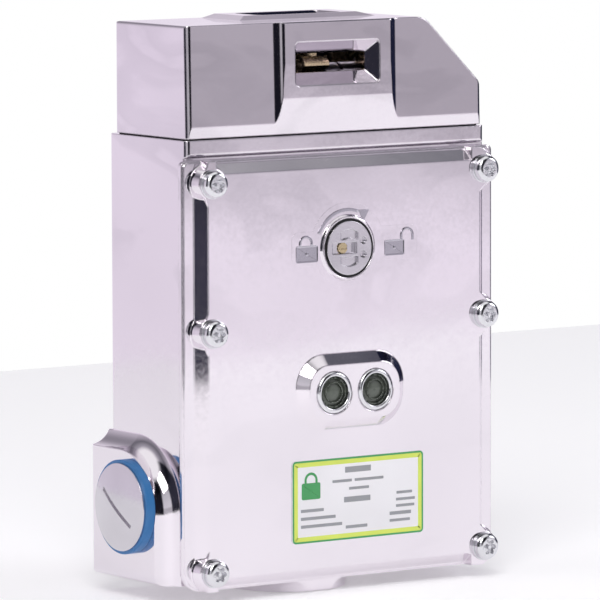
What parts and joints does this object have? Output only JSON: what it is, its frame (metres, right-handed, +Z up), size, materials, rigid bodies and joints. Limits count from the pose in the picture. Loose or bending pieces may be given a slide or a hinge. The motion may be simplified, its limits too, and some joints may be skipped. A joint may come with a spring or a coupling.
{
  "type": "solenoid guard locking switch",
  "caption": "Guard locking switch with a cast box, a screwed lid with lamps and manual release, and an actuator head with front and top entries.",
  "frame": {"origin": "the middle of the rear fixing pattern, on the rear mounting plane", "axes": "+X right seen from the front, +Y out of the rear face, +Z up towards the head"},
  "size_m": [0.1238, 0.0481, 0.1672],
  "materials": {
    "cast_metal": "polished casting",
    "plated_steel": "bright plated",
    "dark_steel": "dark oxide",
    "brass": "turned",
    "black_rubber": "matt",
    "blue_seal": "matt",
    "dark_lens": "clear smoked",
    "board_green": "lacquered",
    "label_film": "laminated film",
    "black_plastic": "moulded",
    "ivory_plastic": "moulded",
    "orange_plastic": "moulded",
    "grey_plastic": "moulded",
    "copper_wire": "enamelled winding"
  },
  "bodies": {
    "body": {"housing": "cast_metal", "lid": "cast_metal", "lid_gasket": "black_rubber", "lid_screws": "plated_steel", "lid_washers": "plated_steel", "conduit_plug": "plated_steel", "plug_seal": "blue_seal", "lamp_rings": "plated_steel", "lamp_lenses": "dark_lens", "lamp_board": "board_green", "board_screws": "plated_steel", "label": "label_film", "release_seal": "black_rubber", "head": "cast_metal", "head_gasket": "black_rubber", "head_screws": "plated_steel", "plunger_bush": "brass", "spring_bracket": "plated_steel", "bolt_spring": "dark_steel", "solenoid_frame": "plated_steel", "bobbin": "black_plastic", "coil_winding": "copper_wire", "chassis_plate": "plated_steel", "chassis_screws": "plated_steel", "contact_block_actuator": "ivory_plastic", "contact_block_lock": "ivory_plastic", "terminal_block": "grey_plastic", "terminal_screws": "plated_steel"},
    "cam": {"cam_drum": "dark_steel", "cam_lugs": "brass", "cam_shaft": "plated_steel"},
    "plunger": {"plunger": "plated_steel", "plunger_spring": "dark_steel"},
    "actuator_contacts": {"contact_carriage_actuator": "orange_plastic"},
    "lock": {"lock_bolt": "plated_steel", "armature": "dark_steel"},
    "lock_contacts": {"contact_carriage_lock": "orange_plastic"},
    "release": {"release_spindle": "plated_steel", "release_core": "brass", "release_clip": "dark_steel", "release_cam": "plated_steel"}
  },
  "joints": [
    {"name": "cam_turn", "type": "hinge", "parent": "body", "child": "cam", "pos_m": [0, -0.0215, 0.07855], "axis": [1, 0, 0], "range_deg": [0, 50]},
    {"name": "plunger_slide", "type": "slide", "parent": "body", "child": "plunger", "axis": [0, 0, 1], "range_m": [0, 0.00398], "deforming": ["plunger_spring"]},
    {"name": "actuator_contact_slide", "type": "slide", "parent": "body", "child": "actuator_contacts", "axis": [0, 0, 1], "range_m": [0, 0.004]},
    {"name": "lock_slide", "type": "slide", "parent": "body", "child": "lock", "axis": [-1, 0, 0], "range_m": [-0.0055, 0]},
    {"name": "lock_contact_slide", "type": "slide", "parent": "body", "child": "lock_contacts", "axis": [-1, 0, 0], "range_m": [-0.0055, 0]},
    {"name": "release_turn", "type": "hinge", "parent": "body", "child": "release", "pos_m": [0.0004, -0.045, 0.0303], "axis": [0, 1, 0], "range_deg": [0, 180]}
  ],
  "couplings": [
    {"joint": "cam_turn", "follows": "plunger_slide", "rad_per_m": 219.3},
    {"joint": "actuator_contact_slide", "follows": "plunger_slide", "ratio": 1},
    {"joint": "lock_contact_slide", "follows": "lock_slide", "ratio": 1}
  ]
}
